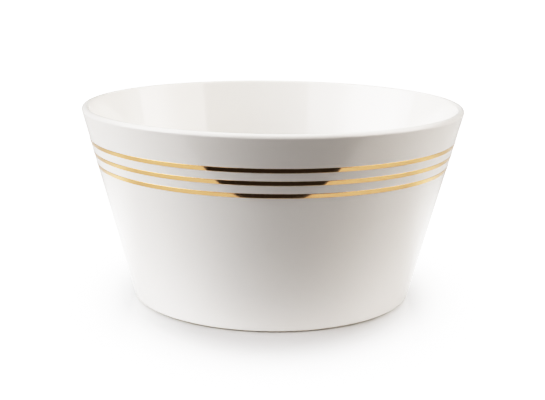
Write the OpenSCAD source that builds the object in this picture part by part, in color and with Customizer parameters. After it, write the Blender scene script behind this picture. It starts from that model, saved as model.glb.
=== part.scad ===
// Porcelain serving bowl: a straight flared wall, a rounded lip, a flat floor and a low foot ring,
// glazed all over except where it stands, with three gold bands fired on below the rim.
// The origin is the centre of the ring that it stands on, +Z is up, and sizes are in millimetres.

/* [Overall] */
// Diameter over the glazed rim
rim_d = 230; // [195:1:300]
// Height of the glazed rim above the table
bowl_h = 117; // [80:1:160]
// Diameter at which the straight outer wall would meet the table
base_d = 170; // [110:1:200]

/* [Porcelain body] */
// Thickness of the bare porcelain wall, which the lip rounds off
wall_t = 3.6; // [2.4:0.1:6]
// Thickness of the bare porcelain floor above the underside recess
floor_t = 4.8; // [3:0.1:8]
// Radius of the outer corner where the wall turns under to the foot
corner_r = 2.5; // [1.5:0.1:8]
// Radius of the hollow corner between the inner wall and the floor
hollow_r = 16; // [6:0.5:30]

/* [Foot ring] */
// Width of the foot ring, from its outer corner to the recess
foot_w = 4.5; // [3:0.1:9]
// Depth of the recess inside the foot ring
recess_h = 3; // [2:0.1:6]
// Radius of the hollow corner at the top of the recess
recess_r = 1.8; // [0.8:0.1:2]
// Radius of the foot ring's inner edge, where it stands on the table
foot_edge_r = 1; // [0.4:0.1:1.4]

/* [Glaze] */
// Thickness of the fired glaze
glaze_t = 0.3; // [0.2:0.05:0.6]
// Height to which the glaze is wiped off the foot before firing
wiped_h = 0.9; // [0.5:0.1:1.5]

/* [Gold bands] */
// Distance from the rim down to the middle of the upper band
first_band_drop = 19.8; // [8:0.1:30]
// Distance from the middle of one band down to the middle of the next
band_pitch = 7.1; // [3.6:0.1:12]
// Width of each band along the slope of the wall
band_w = 2.6; // [1:0.1:3.4]
// Thickness of the fired gold
gold_t = 0.12; // [0.1:0.01:0.2]

/* [Hidden] */

PORCELAIN = [0.93, 0.92, 0.89];
GLAZE = [0.97, 0.96, 0.94];
GOLD = [0.87, 0.72, 0.46];

// Facets round the bowl and round the small circles of its section
$fn = 120;
round_fn = 360;
// How far a cutting shape runs past what it cuts
past = 5;

// Bare lip: half of the wall's thickness, round its own centre
lip_r = wall_t / 2;
lip_centre = [rim_d / 2 - lip_r - glaze_t, bowl_h - lip_r - glaze_t];
// The lean of the wall from upright: its outer face touches the lip and meets the table at base_d
lip_from_base = [lip_centre.x - base_d / 2, lip_centre.y];
slope = atan2(lip_from_base.x, lip_from_base.y) + asin((lip_r + glaze_t) / norm(lip_from_base));
// Unit vector out of the outer wall
wall_out = [cos(slope), -sin(slope)];
// Radius at which the bare outer wall would meet the table
bare_base_r = base_d / 2 - glaze_t / cos(slope);

// Centre of the rounded outer corner, which touches the table and the wall
corner_centre = [bare_base_r - corner_r * (1 - sin(slope)) / cos(slope), corner_r];
// Centre of the hollow corner, which touches the floor and the inner wall
floor_z = recess_h + floor_t;
hollow_z = floor_z + hollow_r;
hollow_centre = [bare_base_r + (hollow_z * sin(slope) - wall_t - hollow_r) / cos(slope), hollow_z];
// Radius of the recess inside the foot ring
recess_rim_r = corner_centre.x - foot_w;

// The point on the glazed outer wall at height z, moved out from the wall by out
function on_wall(z, out) = [base_d / 2 + z * tan(slope), z] + out * wall_out;

// Half section of the solid bowl with no recess under it, its surface grown by the glaze's thickness
module section(grow) {
  difference() {
    union() {
      polygon([
        [0, -grow],
        [corner_centre.x, -grow],
        corner_centre + (corner_r + grow) * wall_out,
        lip_centre + (lip_r + grow) * wall_out,
        lip_centre - (lip_r + grow) * wall_out,
        hollow_centre + (hollow_r - grow) * wall_out,
        [hollow_centre.x, floor_z + grow],
        [0, floor_z + grow]
      ]);
      translate(corner_centre)
        circle(r = corner_r + grow);
      translate(lip_centre)
        circle(r = lip_r + grow);
    }
    translate(hollow_centre)
      circle(r = hollow_r - grow);
  }
}

// Half section of the recess in the underside, made smaller all round by inset
module recess(inset) {
  side_r = recess_rim_r - inset;
  top_z = recess_h - inset;
  polygon([
    [0, -past],
    [side_r, -past],
    [side_r, recess_h - recess_r],
    [recess_rim_r - recess_r, top_z],
    [0, top_z]
  ]);
  translate([recess_rim_r - recess_r, recess_h - recess_r])
    circle(r = recess_r - inset);
}

// Half section of what is cut off the foot ring's inner edge to round it
module foot_edge_cut() {
  difference() {
    translate([recess_rim_r - past, -past])
      square([past + foot_edge_r, past + foot_edge_r]);
    translate([recess_rim_r + foot_edge_r, foot_edge_r])
      circle(r = foot_edge_r);
  }
}

// Everything in the half plane lower than the line to which the glaze is wiped off
module wiped_below(line_z) {
  translate([0, -past])
    square([base_d, past + line_z]);
}

module porcelain_body() {
  color(PORCELAIN)
    rotate_extrude($fn = round_fn)
      difference() {
        section(0);
        recess(0);
        foot_edge_cut();
      }
}

// One skin over the inside, the lip and the outside, down to the wiped line
module glaze_coat() {
  color(GLAZE)
    rotate_extrude($fn = round_fn)
      difference() {
        section(glaze_t);
        section(0);
        wiped_below(wiped_h);
      }
}

// The separate skin inside the foot ring, which stops above the ring's rounded edge
module underside_glaze() {
  color(GLAZE)
    rotate_extrude($fn = round_fn)
      difference() {
        recess(0);
        recess(glaze_t);
        wiped_below(max(wiped_h, foot_edge_r));
      }
}

// One band of gold on the glazed outer wall, counted down from the rim
module gold_band(count) {
  middle_z = bowl_h - first_band_drop - count * band_pitch;
  half_rise = band_w / 2 * cos(slope);
  color(GOLD)
    rotate_extrude($fn = round_fn)
      polygon([
        on_wall(middle_z - half_rise, 0),
        on_wall(middle_z - half_rise, gold_t),
        on_wall(middle_z + half_rise, gold_t),
        on_wall(middle_z + half_rise, 0)
      ]);
}

module gold_band_upper() {
  gold_band(0);
}

module gold_band_middle() {
  gold_band(1);
}

module gold_band_lower() {
  gold_band(2);
}

porcelain_body();
glaze_coat();
underside_glaze();
gold_band_upper();
gold_band_middle();
gold_band_lower();
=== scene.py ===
"""Porcelain serving bowl: a fired body, its glaze and three bands of fired gold, on a white table."""

import math

import bpy
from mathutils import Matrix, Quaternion, Vector


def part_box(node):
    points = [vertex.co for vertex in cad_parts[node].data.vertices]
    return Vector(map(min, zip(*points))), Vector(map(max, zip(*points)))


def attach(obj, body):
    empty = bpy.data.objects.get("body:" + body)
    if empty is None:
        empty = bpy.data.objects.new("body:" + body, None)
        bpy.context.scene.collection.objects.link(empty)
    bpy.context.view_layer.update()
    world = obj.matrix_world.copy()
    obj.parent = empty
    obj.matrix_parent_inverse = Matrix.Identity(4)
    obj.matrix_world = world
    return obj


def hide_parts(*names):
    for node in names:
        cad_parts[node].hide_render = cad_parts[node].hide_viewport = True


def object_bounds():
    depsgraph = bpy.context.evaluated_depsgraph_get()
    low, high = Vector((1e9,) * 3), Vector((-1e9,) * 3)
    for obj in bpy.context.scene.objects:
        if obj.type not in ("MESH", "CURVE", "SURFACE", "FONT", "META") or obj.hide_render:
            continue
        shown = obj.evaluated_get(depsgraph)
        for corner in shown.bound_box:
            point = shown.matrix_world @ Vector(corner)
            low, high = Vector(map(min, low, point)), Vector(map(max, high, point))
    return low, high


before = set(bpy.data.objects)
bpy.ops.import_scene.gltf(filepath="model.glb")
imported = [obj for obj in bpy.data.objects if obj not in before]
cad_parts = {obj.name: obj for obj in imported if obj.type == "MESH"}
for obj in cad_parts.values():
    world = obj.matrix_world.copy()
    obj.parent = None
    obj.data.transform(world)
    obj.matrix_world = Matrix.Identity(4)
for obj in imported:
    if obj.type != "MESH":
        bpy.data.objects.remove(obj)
cad_low, cad_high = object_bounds()
mm = 0.001


# ---- Camera ----
# A short telephoto lens looks down at the bowl from the front, high enough to show the inside over the
# lip. It is turned very slightly about its own axis, as on a tripod that was levelled by eye.
CAMERA_DISTANCE = 700 * mm
CAMERA_ELEVATION = math.radians(13.05)
CAMERA_ROLL = math.radians(0.63)
CAMERA_SIDE = 0.28 * mm
LOOKED_AT_Z = 56.32 * mm
LENS_MM = 74.59
SENSOR_MM = 36
CLIP_NEAR = 10 * mm
CLIP_FAR = 40

camera_data = bpy.data.cameras.new("camera")
camera_data.lens = LENS_MM
camera_data.sensor_width = SENSOR_MM
camera_data.clip_start = CLIP_NEAR
camera_data.clip_end = CLIP_FAR
camera = bpy.data.objects.new("camera", camera_data)
bpy.context.scene.collection.objects.link(camera)
looking = Vector((0, math.cos(CAMERA_ELEVATION), -math.sin(CAMERA_ELEVATION)))
camera.location = Vector((CAMERA_SIDE, 0, LOOKED_AT_Z)) - CAMERA_DISTANCE * looking
camera.rotation_mode = "QUATERNION"
camera.rotation_quaternion = looking.to_track_quat("-Z", "Y") @ Quaternion((0, 0, 1), CAMERA_ROLL)
bpy.context.scene.camera = camera

# The exposure is developed as a camera does it: mid tones nearly straight up to the shoulder, and above
# it highlights that near white ever more slowly, so that white china keeps its form where it is brightest
SHOULDER = 0.4
STEEPNESS = 1.2
WHITEST = 3
view = bpy.context.scene.view_settings
view.view_transform = "Standard"
view.use_curve_mapping = True
view.curve_mapping.white_level = (WHITEST, WHITEST, WHITEST)
tones = view.curve_mapping.curves[3].points
for level in (0.1, 0.2, 0.3):
    tones.new(level / WHITEST, SHOULDER * (level / SHOULDER) ** STEEPNESS)
for level in (0.4, 0.5, 0.6, 0.8, 1, 1.3, 1.7, 2.3):
    rolled_off = math.exp(-STEEPNESS * (level - SHOULDER) / (1 - SHOULDER))
    tones.new(level / WHITEST, 1 - (1 - SHOULDER) * rolled_off)
view.curve_mapping.update()


# ---- Fired porcelain body ----
# Wall, floor and foot ring are pressed in one piece of hard porcelain and fired. The glaze hides all of
# it but the narrow ring that it stands on, which was wiped clean so that it wouldn't stick in the kiln.
body_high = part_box("porcelain_body")[1]
glaze_low, glaze_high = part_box("glaze_coat")
under_low, under_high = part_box("underside_glaze")
WALL_T = 3.6 * mm
FLOOR_T = 4.8 * mm
BASE_R = 85 * mm
CORNER_R = 2.5 * mm
HOLLOW_R = 16 * mm
RECESS_R = 1.8 * mm
glaze_t = glaze_high.z - body_high.z
lip_r = WALL_T / 2
lip = Vector((body_high.x - lip_r, body_high.z - lip_r))
lip_from_base = lip - Vector((BASE_R, 0))
lean_to_lip = math.atan2(lip_from_base.x, lip_from_base.y)
slope = lean_to_lip + math.asin((lip_r + glaze_t) / lip_from_base.length)
bare_base_r = BASE_R - glaze_t / math.cos(slope)
corner = Vector((bare_base_r - CORNER_R * (1 - math.sin(slope)) / math.cos(slope), CORNER_R))
recess_rim_r = under_high.x
recess_h = under_high.z
foot_edge_r = under_low.z
floor_z = recess_h + FLOOR_T
hollow_z = floor_z + HOLLOW_R
hollow_r = bare_base_r + (hollow_z * math.sin(slope) - WALL_T - HOLLOW_R) / math.cos(slope)
hollow = Vector((hollow_r, hollow_z))
ROUND_STEPS = 360
HOLLOW_STEPS = 24
LIP_STEPS = 28
CORNER_STEPS = 12
FOOT_STEPS = 8
QUARTER = math.pi / 2


def arc(centre, radius, start, end, steps):
    """Points (r, z) along an arc of the section, between two angles in radians."""
    turned = [start + (end - start) * i / steps for i in range(steps + 1)]
    return [(centre[0] + radius * math.cos(a), centre[1] + radius * math.sin(a)) for a in turned]


def joined(*stretches):
    """One outline of several stretches. The straight run between two has a point close to each of its
    ends, so that its smooth shading stays flat right up to the curve that it meets."""
    close = 0.1 * mm
    outline = list(stretches[0])
    for stretch in stretches[1:]:
        start, end = Vector(outline[-1]), Vector(stretch[0])
        run = (end - start).length
        if run > 3 * close:
            outline += [tuple(start.lerp(end, close / run)), tuple(end.lerp(start, close / run))]
        outline += stretch
    return outline


def skin(grow, last):
    """Half section of the surface, from the middle of the floor inside, over the lip, to the foot."""
    return joined(
        [(0, floor_z + grow)],
        arc(hollow, HOLLOW_R - grow, -QUARTER, -slope, HOLLOW_STEPS),
        arc(lip, lip_r + grow, math.pi - slope, -slope, LIP_STEPS),
        arc(corner, CORNER_R + grow, -slope, last, CORNER_STEPS),
    )


# In the kiln the rim goes slightly oval, and its height sags in three places. Both are greatest at the
# rim, and each is turned by its own angle, so that they don't line up with the front.
OVAL = 0.06 * mm
OVAL_TURNED = 0.7
SAG = 0.05 * mm
SAG_TURNED = 2.1


def fired(r, z, angle):
    """Where a point of the true section ends up, because the kiln leaves a bowl a little out of round."""
    up = max(0, z / cad_high.z)
    oval = OVAL * (1 + math.cos(2 * angle + OVAL_TURNED)) * up
    sag = SAG * (1 + math.cos(3 * angle + SAG_TURNED)) * up
    shrunk = r - oval * min(1, r / recess_rim_r)
    return (shrunk * math.cos(angle), shrunk * math.sin(angle), z - sag)


def turn(name, outline, closed=False):
    """A mesh piece turned round the bowl's axis. If closed, its last point joins up with its first."""
    verts, rings = [], []
    for r, z in outline:
        if r == 0:
            rings.append([len(verts)] * ROUND_STEPS)
            verts.append(fired(0, z, 0))
        else:
            rings.append(list(range(len(verts), len(verts) + ROUND_STEPS)))
            verts += [fired(r, z, 2 * math.pi * i / ROUND_STEPS) for i in range(ROUND_STEPS)]
    pairs = list(zip(rings, rings[1:] + rings[:1])) if closed else list(zip(rings, rings[1:]))
    faces = []
    for low, high in pairs:
        for i in range(ROUND_STEPS):
            j = (i + 1) % ROUND_STEPS
            corners = [low[i], low[j], high[j], high[i]]
            faces.append(list(dict.fromkeys(corners)))
    mesh = bpy.data.meshes.new(name)
    mesh.from_pydata(verts, [], faces)
    mesh.validate()
    mesh.shade_smooth()
    piece = bpy.data.objects.new(name, mesh)
    bpy.context.scene.collection.objects.link(piece)
    return piece


def linear(hex_colour):
    """An sRGB colour such as #F2EFE9 as the linear RGBA that Blender's sockets hold."""
    channels = [int(hex_colour[i:i + 2], 16) / 255 for i in (1, 3, 5)]
    curve = [c / 12.92 if c <= 0.04045 else ((c + 0.055) / 1.055) ** 2.4 for c in channels]
    return (*curve, 1)


def add_node(tree, kind, fields=None, inputs=None):
    """Adds a node with its settings. A value that is another node's socket is linked, any other is set."""
    node = tree.nodes.new("ShaderNode" + kind)
    for field, value in (fields or {}).items():
        setattr(node, field, value)
    for socket, value in (inputs or {}).items():
        if isinstance(value, bpy.types.NodeSocket):
            tree.links.new(value, node.inputs[socket])
        else:
            node.inputs[socket].default_value = value
    return node


foot_edge = (recess_rim_r + foot_edge_r, foot_edge_r)
recess_corner = (recess_rim_r - RECESS_R, recess_h - RECESS_R)
body = turn(
    "porcelain_body_fired",
    joined(
        skin(0, -QUARTER),
        arc(foot_edge, foot_edge_r, -QUARTER, -math.pi, FOOT_STEPS),
        arc(recess_corner, RECESS_R, 0, QUARTER, FOOT_STEPS),
        [(0, recess_h)],
    ),
)

# Bisque porcelain, fired but unglazed: matte, a warmer white than the glaze, with a fine sugary grain.
# Its grain is about 0.15 mm, and is drawn at 0.3 mm so that it shows. Kiln stains are far wider.
GRAIN_SIZE = 0.3 * mm
GRAIN_DEPTH = 0.03 * mm
STAIN_SIZE = 14 * mm
bisque = bpy.data.materials.new("bisque_porcelain_unglazed")
bisque.use_nodes = True
nodes = bisque.node_tree
shader = nodes.nodes["Principled BSDF"]
shader.inputs["IOR"].default_value = 1.5
place = add_node(nodes, "TexCoord")
on_body = place.outputs["Object"]
grain = add_node(nodes, "TexNoise", None, {"Vector": on_body, "Scale": 1 / GRAIN_SIZE, "Detail": 3})
stain = add_node(nodes, "TexNoise", None, {"Vector": on_body, "Scale": 1 / STAIN_SIZE, "Detail": 4})
toned = add_node(
    nodes,
    "MixRGB",
    None,
    {"Fac": stain.outputs["Fac"], "Color1": linear("#E9E2D5"), "Color2": linear("#DCD3C4")},
)
rough = add_node(nodes, "MapRange", None, {"Value": grain.outputs["Fac"], "To Min": 0.62, "To Max": 0.85})
bumped = add_node(
    nodes, "Bump", None, {"Height": grain.outputs["Fac"], "Distance": GRAIN_DEPTH, "Strength": 1}
)
nodes.links.new(toned.outputs["Color"], shader.inputs["Base Color"])
nodes.links.new(rough.outputs["Result"], shader.inputs["Roughness"])
nodes.links.new(bumped.outputs["Normal"], shader.inputs["Normal"])
body.data.materials.append(bisque)
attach(body, "root")
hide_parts("porcelain_body")


# ---- Glaze coat ----
# The bowl is dipped, so one skin of clear feldspar glaze covers the inside, the lip and the outside. It
# ends in a small rounded bead where it was wiped off the foot, and it is fused to the body in the firing.
BEAD_STEPS = 6
bead_r = glaze_t / 2
bead_angle = math.asin((glaze_low.z + bead_r - corner.y) / (CORNER_R + bead_r))
bead = corner + (CORNER_R + bead_r) * Vector((math.cos(bead_angle), math.sin(bead_angle)))
coat = turn(
    "glaze_coat_gloss",
    skin(glaze_t, bead_angle)
    + arc(bead, bead_r, bead_angle, bead_angle - math.pi, BEAD_STEPS)[1:-1]
    + skin(0, bead_angle)[::-1],
)


def glaze_depth(piece):
    """Stores how the molten glaze lay: up to 1 where it pooled, down to -1 where it ran off the lip."""
    pool = hollow + HOLLOW_R * Vector((math.sin(slope), -math.cos(slope)))
    reach_of_pool = 13 * mm
    reach_of_lip = 3.2 * mm
    depth = piece.data.attributes.new("glaze_depth", "FLOAT", "POINT")
    for vert, value in zip(piece.data.vertices, depth.data):
        at = Vector((math.hypot(vert.co.x, vert.co.y), vert.co.z))
        pooled = max(0, 1 - (at - pool).length / reach_of_pool)
        thinned = max(0, 1 - (at - lip).length / reach_of_lip)
        value.value = pooled - thinned


# Clear gloss glaze over white porcelain: mirror smooth, with a depth of white under it. It is cooler
# where it pooled and warmer where it ran thin. As on any dipped glaze, its surface swells by some
# microns from place to place and ripples by far less, so that what it mirrors bends a little.
SWELL_SIZE = 16 * mm
SWELL_DEPTH = 0.02 * mm
RIPPLE_SIZE = 2 * mm
RIPPLE_DEPTH = 0.0005 * mm
CLOUD_SIZE = 30 * mm
glaze = bpy.data.materials.new("clear_feldspar_glaze_dipped")
glaze.use_nodes = True
nodes = glaze.node_tree
shader = nodes.nodes["Principled BSDF"]
shader.inputs["IOR"].default_value = 1.56
place = add_node(nodes, "TexCoord")
on_glaze = place.outputs["Object"]
depth = add_node(nodes, "Attribute", {"attribute_name": "glaze_depth"})
pooled = add_node(nodes, "MapRange", None, {"Value": depth.outputs["Fac"], "From Min": 0, "From Max": 1})
thinned = add_node(nodes, "MapRange", None, {"Value": depth.outputs["Fac"], "From Min": 0, "From Max": -1})
cloud = add_node(nodes, "TexNoise", None, {"Vector": on_glaze, "Scale": 1 / CLOUD_SIZE, "Detail": 2})
white = add_node(
    nodes,
    "MixRGB",
    None,
    {"Fac": cloud.outputs["Fac"], "Color1": linear("#F0EEEA"), "Color2": linear("#EDEBE8")},
)
deep = add_node(
    nodes,
    "MixRGB",
    None,
    {"Fac": pooled.outputs["Result"], "Color1": white.outputs["Color"], "Color2": linear("#E6E9E7")},
)
toned = add_node(
    nodes,
    "MixRGB",
    None,
    {"Fac": thinned.outputs["Result"], "Color1": deep.outputs["Color"], "Color2": linear("#F1ECE3")},
)
swell = add_node(nodes, "TexNoise", None, {"Vector": on_glaze, "Scale": 1 / SWELL_SIZE, "Detail": 1})
ripple = add_node(nodes, "TexNoise", None, {"Vector": on_glaze, "Scale": 1 / RIPPLE_SIZE, "Detail": 1})
rough = add_node(nodes, "MapRange", None, {"Value": cloud.outputs["Fac"], "To Min": 0.04, "To Max": 0.08})
waved = add_node(
    nodes, "Bump", None, {"Height": swell.outputs["Fac"], "Distance": SWELL_DEPTH, "Strength": 1}
)
rippled = add_node(
    nodes,
    "Bump",
    None,
    {
        "Height": ripple.outputs["Fac"],
        "Distance": RIPPLE_DEPTH,
        "Strength": 1,
        "Normal": waved.outputs["Normal"],
    },
)
nodes.links.new(toned.outputs["Color"], shader.inputs["Base Color"])
nodes.links.new(rough.outputs["Result"], shader.inputs["Roughness"])
nodes.links.new(rippled.outputs["Normal"], shader.inputs["Normal"])
glaze_depth(coat)
coat.data.materials.append(glaze)
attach(coat, "root")
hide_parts("glaze_coat")


# ---- Glaze inside the foot ring ----
# The same dip leaves a patch of glaze in the recess under the bowl, cut off from the rest by the bare
# ring. It ends in the same small bead, a millimetre above the table.
under_bead = (recess_rim_r - bead_r, foot_edge_r + bead_r)
under = turn(
    "underside_glaze_gloss",
    joined(
        [(0, recess_h)],
        arc(recess_corner, RECESS_R, QUARTER, 0, FOOT_STEPS),
        arc(under_bead, bead_r, 0, -math.pi, BEAD_STEPS),
        arc(recess_corner, RECESS_R - glaze_t, 0, QUARTER, FOOT_STEPS),
        [(0, recess_h - glaze_t)],
    ),
)
glaze_depth(under)
under.data.materials.append(glaze)
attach(under, "root")
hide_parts("underside_glaze")


# ---- Gold bands ----
# Liquid bright gold is banded onto the fired glaze with a fine brush while the bowl turns on a wheel,
# and is fired on at a low heat. Each band is a thin film that ends in a soft edge.

# Bright gold, which comes out of the kiln already bright: a yellow mirror, whose faint streaks follow
# the brush round the bowl, and whose colour drifts a little where the film is thinner.
STREAK_APART = 0.2 * mm
STREAK_LENGTH = 30 * mm
STREAK_DEPTH = 0.0006 * mm
DRIFT_SIZE = 9 * mm
gold = bpy.data.materials.new("bright_gold_fired")
gold.use_nodes = True
nodes = gold.node_tree
shader = nodes.nodes["Principled BSDF"]
shader.inputs["Metallic"].default_value = 1
place = add_node(nodes, "TexCoord")
on_gold = place.outputs["Object"]
stretched = (1 / STREAK_LENGTH, 1 / STREAK_LENGTH, 1 / STREAK_APART)
along_brush = add_node(nodes, "Mapping", None, {"Vector": on_gold, "Scale": stretched})
stroke = add_node(
    nodes, "TexNoise", None, {"Vector": along_brush.outputs["Vector"], "Scale": 1, "Detail": 2}
)
cloud = add_node(nodes, "TexNoise", None, {"Vector": on_gold, "Scale": 1 / DRIFT_SIZE, "Detail": 2})
toned = add_node(
    nodes,
    "MixRGB",
    None,
    {"Fac": cloud.outputs["Fac"], "Color1": linear("#EAC290"), "Color2": linear("#E7BC86")},
)
rough = add_node(nodes, "MapRange", None, {"Value": stroke.outputs["Fac"], "To Min": 0.03, "To Max": 0.07})
streaked = add_node(
    nodes, "Bump", None, {"Height": stroke.outputs["Fac"], "Distance": STREAK_DEPTH, "Strength": 1}
)
nodes.links.new(toned.outputs["Color"], shader.inputs["Base Color"])
nodes.links.new(rough.outputs["Result"], shader.inputs["Roughness"])
nodes.links.new(streaked.outputs["Normal"], shader.inputs["Normal"])

wall_foot = Vector((BASE_R, 0))
wall_up = Vector((math.sin(slope), math.cos(slope)))
GOLD_T = 0.12 * mm
EDGE_STEPS = 5
for which in ("upper", "middle", "lower"):
    band_low, band_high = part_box("gold_band_" + which)
    low_edge = wall_foot + wall_up * ((band_low.z + GOLD_T * math.sin(slope)) / wall_up.y + GOLD_T)
    high_edge = wall_foot + wall_up * (band_high.z / wall_up.y - GOLD_T)
    band = turn(
        "gold_band_" + which + "_film",
        joined(
            arc(low_edge, GOLD_T, -slope - QUARTER, -slope, EDGE_STEPS),
            arc(high_edge, GOLD_T, -slope, -slope + QUARTER, EDGE_STEPS),
        ),
        closed=True,
    )
    band.data.materials.append(gold)
    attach(band, "root")
    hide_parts("gold_band_" + which)


# ---- Table ----
# A table faced with white laminate, whose satin surface comes from the plate that it was pressed on. The
# top that is seen, the top that glaze and gold mirror and the top that throws light up at the bowl are
# three sheets. The last two end in front of the bowl, where the dark studio begins.
TABLE_FRONT = 190 * mm
TABLE_REACH = 6
SHEETS_APART = 0.1 * mm
MATTE = 0.6
# Satin white laminate, the top that is seen: it mirrors the bowl softly near the foot. Its colour is a
# darker grey, and a painted glow of its own burns it out to white farther from the bowl's axis, so that a
# painted shade stays round the foot. To the sides the glow comes sooner than to the front, where the
# painted shade of the bowl reaches farthest.
PAINTED_GLOW_STRENGTH = 3
PAINTED_GLOW_FROM = 93 * mm
PAINTED_GLOW_FULL_BY = 200 * mm
SIDES_SOONER = 1.4
SATIN_CLOUD_SIZE = 60 * mm
laminate = bpy.data.materials.new("white_laminate_satin")
laminate.use_nodes = True
nodes = laminate.node_tree
shader = nodes.nodes["Principled BSDF"]
shader.inputs["Base Color"].default_value = linear("#C2C2C2")
shader.inputs["Emission Color"].default_value = linear("#FFFFFF")
place = add_node(nodes, "TexCoord")
on_table = place.outputs["Object"]
cloud = add_node(nodes, "TexNoise", None, {"Vector": on_table, "Scale": 1 / SATIN_CLOUD_SIZE, "Detail": 2})
rough = add_node(nodes, "MapRange", None, {"Value": cloud.outputs["Fac"], "To Min": 0.16, "To Max": 0.2})
nodes.links.new(rough.outputs["Result"], shader.inputs["Roughness"])
oval = add_node(nodes, "Mapping", None, {"Vector": on_table, "Scale": (SIDES_SOONER, 1, 1)})
away = add_node(nodes, "VectorMath", {"operation": "LENGTH"}, {0: oval.outputs["Vector"]})
# Painted glow: emission that grows with the distance from the bowl's axis, leaving a painted shade round
# the foot
painted_glow = add_node(
    nodes,
    "MapRange",
    {"interpolation_type": "SMOOTHSTEP"},
    {"Value": away.outputs["Value"], "From Min": PAINTED_GLOW_FROM, "From Max": PAINTED_GLOW_FULL_BY, "To Max": PAINTED_GLOW_STRENGTH},
)
nodes.links.new(painted_glow.outputs["Result"], shader.inputs["Emission Strength"])

# The same laminate as glaze and gold mirror it: pale, with a painted pool of light beside and behind the
# bowl, a glow of its own, whose painted reflection keeps the edges of the wall bright against the white
# behind them
POOL = 1.4
POOL_STARTS_Y = -50 * mm
POOL_FULL_Y = 60 * mm
POOL_FULL_R = 150 * mm
POOL_ENDS_R = 330 * mm
mirrored = bpy.data.materials.new("white_laminate_mirrored")
mirrored.use_nodes = True
nodes = mirrored.node_tree
shader = nodes.nodes["Principled BSDF"]
shader.inputs["Base Color"].default_value = linear("#C4C3C1")
shader.inputs["Roughness"].default_value = MATTE
shader.inputs["Emission Color"].default_value = linear("#FFFFFF")
place = add_node(nodes, "TexCoord")
along = add_node(nodes, "SeparateXYZ", None, {"Vector": place.outputs["Object"]})
behind = add_node(
    nodes,
    "MapRange",
    {"interpolation_type": "SMOOTHSTEP"},
    {"Value": along.outputs["Y"], "From Min": POOL_STARTS_Y, "From Max": POOL_FULL_Y, "To Max": POOL},
)
away = add_node(nodes, "VectorMath", {"operation": "LENGTH"}, {0: place.outputs["Object"]})
near_by = add_node(
    nodes,
    "MapRange",
    {"interpolation_type": "SMOOTHSTEP"},
    {"Value": away.outputs["Value"], "From Min": POOL_ENDS_R, "From Max": POOL_FULL_R},
)
# Painted pool of light: the sheet's own glow, strongest behind the bowl and near it
pool = add_node(
    nodes, "Math", {"operation": "MULTIPLY"}, {0: behind.outputs["Result"], 1: near_by.outputs["Result"]}
)
nodes.links.new(pool.outputs["Value"], shader.inputs["Emission Strength"])

# The same laminate as it lights the bowl: white behind and beside it, and painted darker in front, from
# the foot onwards: a painted shade in its colour, so that it throws little light up at the front of the
# wall
WHITE_UNTIL_Y = -85 * mm
PAINTED_SHADE_FROM_Y = -150 * mm
bounce = bpy.data.materials.new("white_laminate_bounce")
bounce.use_nodes = True
nodes = bounce.node_tree
shader = nodes.nodes["Principled BSDF"]
shader.inputs["Roughness"].default_value = MATTE
place = add_node(nodes, "TexCoord")
along = add_node(nodes, "SeparateXYZ", None, {"Vector": place.outputs["Object"]})
lit = add_node(
    nodes,
    "MapRange",
    None,
    {"Value": along.outputs["Y"], "From Min": PAINTED_SHADE_FROM_Y, "From Max": WHITE_UNTIL_Y},
)
# Painted shade: the colour fades from white to near black towards the front edge of the sheet
toned = add_node(
    nodes,
    "MixRGB",
    None,
    {"Fac": lit.outputs["Result"], "Color1": linear("#302D2A"), "Color2": linear("#E0DFDD")},
)
nodes.links.new(toned.outputs["Color"], shader.inputs["Base Color"])


def table_sheet(name, material, front, height):
    """A flat sheet that lies under the bowl and runs back from a distance in front of the bowl's axis."""
    mesh = bpy.data.meshes.new(name)
    side = TABLE_REACH
    corners = [(-side, -front), (side, -front), (side, side), (-side, side)]
    mesh.from_pydata([(x, y, height) for x, y in corners], [], [(0, 1, 2, 3)])
    sheet = bpy.data.objects.new(name, mesh)
    bpy.context.scene.collection.objects.link(sheet)
    sheet.data.materials.append(material)
    sheet.visible_shadow = False
    return sheet


seen_top = table_sheet("table_top", laminate, TABLE_REACH, 0)
seen_top.visible_diffuse = False
seen_top.visible_glossy = False
mirrored_top = table_sheet("table_mirrored", mirrored, TABLE_FRONT, -SHEETS_APART)
mirrored_top.visible_camera = False
mirrored_top.visible_diffuse = False
lighting_top = table_sheet("table_bounce", bounce, TABLE_FRONT, -2 * SHEETS_APART)
lighting_top.visible_camera = False
lighting_top.visible_glossy = False


# ---- Backdrop ----
# A white dome stands all round as the backdrop, lit until it is burnt out to white. It gives the bowl no
# light, so the lamps alone shape it.
BACKDROP_R = 9
backdrop_material = bpy.data.materials.new("white_backdrop")
backdrop_material.use_nodes = True
nodes = backdrop_material.node_tree
nodes.nodes.remove(nodes.nodes["Principled BSDF"])
glow = add_node(nodes, "Emission", None, {"Color": linear("#FFFFFF"), "Strength": WHITEST})
nodes.links.new(glow.outputs["Emission"], nodes.nodes["Material Output"].inputs["Surface"])
bpy.ops.mesh.primitive_ico_sphere_add(subdivisions=5, radius=BACKDROP_R, location=(0, 0, 0))
backdrop = bpy.context.object
backdrop.name = "backdrop"
backdrop.data.materials.append(backdrop_material)
backdrop.visible_diffuse = False
backdrop.visible_glossy = False
backdrop.visible_transmission = False
backdrop.visible_shadow = False


# ---- Studio light ----
# Big soft boxes stand left and right of the bowl and hang overhead, and a pale sweep closes the back. The
# front, where the camera stands, is left dark, so the front of the wall falls off to grey.

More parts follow.
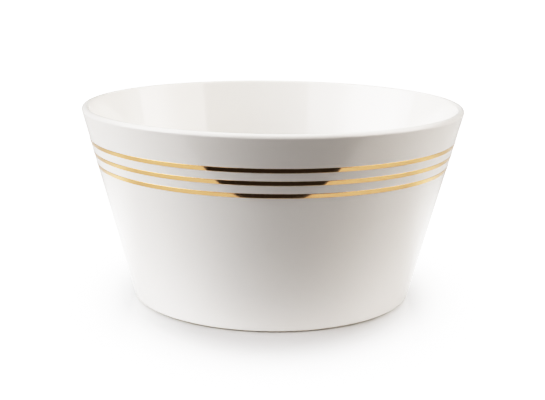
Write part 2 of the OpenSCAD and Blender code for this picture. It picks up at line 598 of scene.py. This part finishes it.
# Each source: the azimuth of its middle (0 is the front, 90 the right), half its width, the elevations
# that it spans, how soft its edge is, all in degrees, and its colour and strength. The box overhead is a
# cap round the zenith, so it takes in every azimuth.
SOFT_BOXES = {
    "left_box": (-66.5, 41.5, 9, 58, 1.5, "#FCFBFF", 2.5),
    "left_lamp": (-76, 22, 0, 48, 10, "#FFFFFF", 3.8),
    "right_box": (76, 26, 9, 56, 1.5, "#FFF8F3", 3.4),
    "right_lamp": (96, 18, 0, 46, 10, "#FFFFFF", 2.0),
    "back_low": (180, 75, 0, 12, 3, "#FFFFFF", 0.45),
    "back_sweep": (180, 72, 30, 62, 6, "#FFFFFF", 1.2),
    "overhead_box": (0, 200, 62, 118, 4, "#FFFFFF", 1.2),
}
DARK_STUDIO = (0.03, 0.024, 0.02)
world = bpy.data.worlds.new("studio_light")
bpy.context.scene.world = world
world.use_nodes = True
nodes = world.node_tree
direction = add_node(nodes, "TexCoord")
along = add_node(nodes, "SeparateXYZ", None, {"Vector": direction.outputs["Generated"]})
forward = add_node(nodes, "Math", {"operation": "MULTIPLY"}, {0: along.outputs["Y"], 1: -1})
azimuth = add_node(
    nodes, "Math", {"operation": "ARCTAN2"}, {0: along.outputs["X"], 1: forward.outputs["Value"]}
)
elevation = add_node(nodes, "Math", {"operation": "ARCSINE"}, {0: along.outputs["Z"]})


def near(angle, middle, half, soft):
    """A socket that is 1 where an angle is within half of middle, and falls to 0 over a soft edge."""
    apart = add_node(nodes, "Math", {"operation": "SUBTRACT"}, {0: angle, 1: middle})
    turned = add_node(nodes, "Math", {"operation": "COSINE"}, {0: apart.outputs["Value"]})
    away = add_node(nodes, "Math", {"operation": "ARCCOSINE"}, {0: turned.outputs["Value"]})
    edge = {"From Min": half + soft, "From Max": half - soft}
    lit = add_node(
        nodes, "MapRange", {"interpolation_type": "SMOOTHSTEP"}, {"Value": away.outputs["Value"], **edge}
    )
    return lit.outputs["Result"]


light = DARK_STUDIO
for *spans, colour, strength in SOFT_BOXES.values():
    middle, half, low, high, soft = [math.radians(angle) for angle in spans]
    across = near(azimuth.outputs["Value"], middle, half, soft)
    upright = near(elevation.outputs["Value"], (low + high) / 2, (high - low) / 2, soft)
    window = add_node(nodes, "Math", {"operation": "MULTIPLY"}, {0: across, 1: upright})
    added = add_node(
        nodes,
        "VectorMath",
        {"operation": "MULTIPLY_ADD"},
        {0: window.outputs["Value"], 1: [strength * c for c in linear(colour)[:3]], 2: light},
    )
    light = added.outputs["Vector"]
nodes.links.new(light, nodes.nodes["Background"].inputs["Color"])
